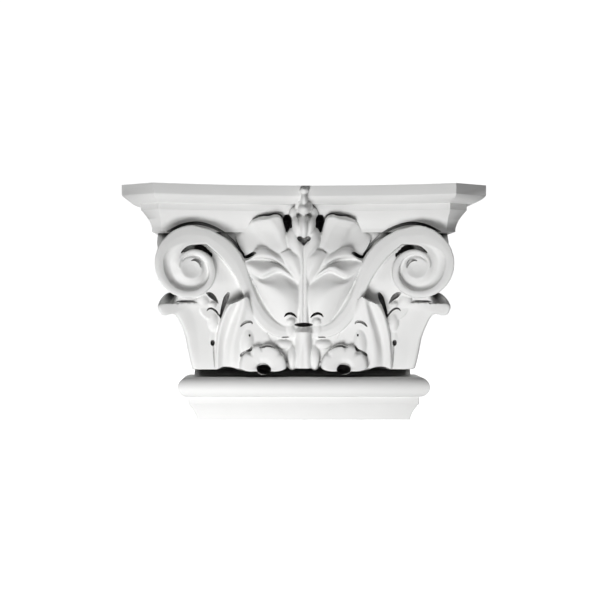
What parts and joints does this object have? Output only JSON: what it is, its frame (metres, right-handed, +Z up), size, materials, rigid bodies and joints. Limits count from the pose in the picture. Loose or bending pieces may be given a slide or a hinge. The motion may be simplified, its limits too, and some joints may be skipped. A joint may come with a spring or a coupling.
{
  "type": "pilaster capital",
  "caption": "Flat-backed Corinthian pilaster capital with horned abacus, corner scrolls, crossing leaves, a central flower and a moulded base.",
  "frame": {"origin": "centre of the footprint of the whole piece at the level of its underside", "axes": "+Z up, the carved front faces -Y, the flat back lies against the wall at the +Y side, +X to the right as seen from the wall's room side"},
  "size_m": [0.3416, 0.118, 0.222],
  "materials": {
    "white_primer": "matt white factory primer on moulded rigid polyurethane foam"
  },
  "bodies": {
    "root": {"pilaster_capital": "white_primer"}
  },
  "joints": []
}
